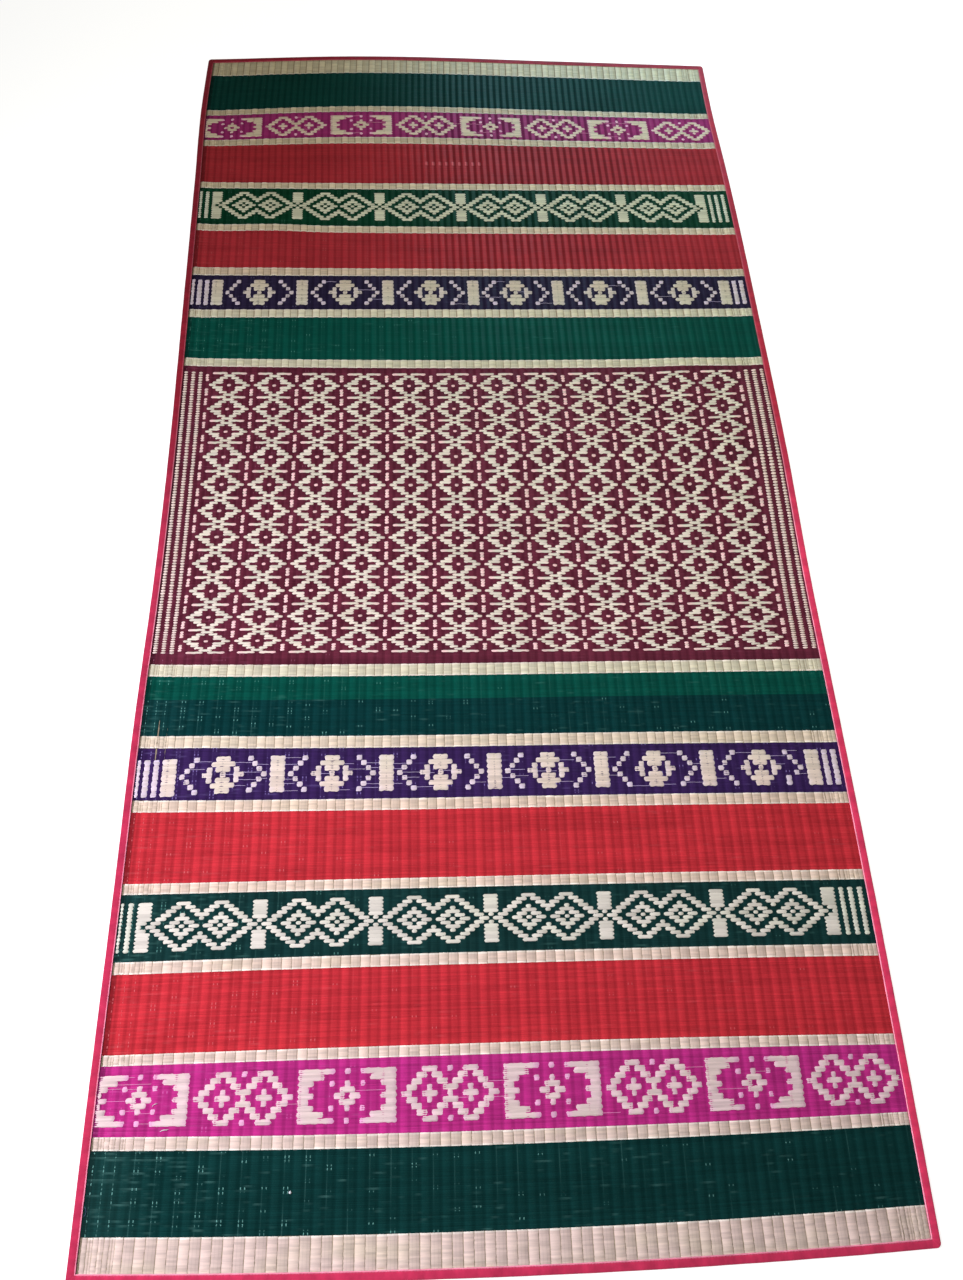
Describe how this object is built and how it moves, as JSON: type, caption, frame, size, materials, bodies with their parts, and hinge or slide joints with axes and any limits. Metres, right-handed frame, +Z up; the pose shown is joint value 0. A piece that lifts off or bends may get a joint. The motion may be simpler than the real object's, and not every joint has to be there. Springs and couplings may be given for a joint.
{
  "type": "grass floor mat",
  "caption": "Long striped floor mat of woven dyed grass with figured bands and a narrow cloth binding folded over every edge, laid flat on a floor.",
  "frame": {"origin": "under the middle of the mat, on the floor it lies on", "axes": "+Y along the mat towards its far end, +X across it to the right, +Z up"},
  "size_m": [0.9002, 1.843, 0.0124],
  "materials": {
    "dyed_grass": "dyed grass strands, ribbed and slightly glossy",
    "binding_tape": "matt cotton tape"
  },
  "bodies": {
    "root": {"woven_mat": "dyed_grass", "binding_left": "binding_tape", "binding_right": "binding_tape", "binding_near": "binding_tape", "binding_far": "binding_tape"}
  },
  "joints": []
}
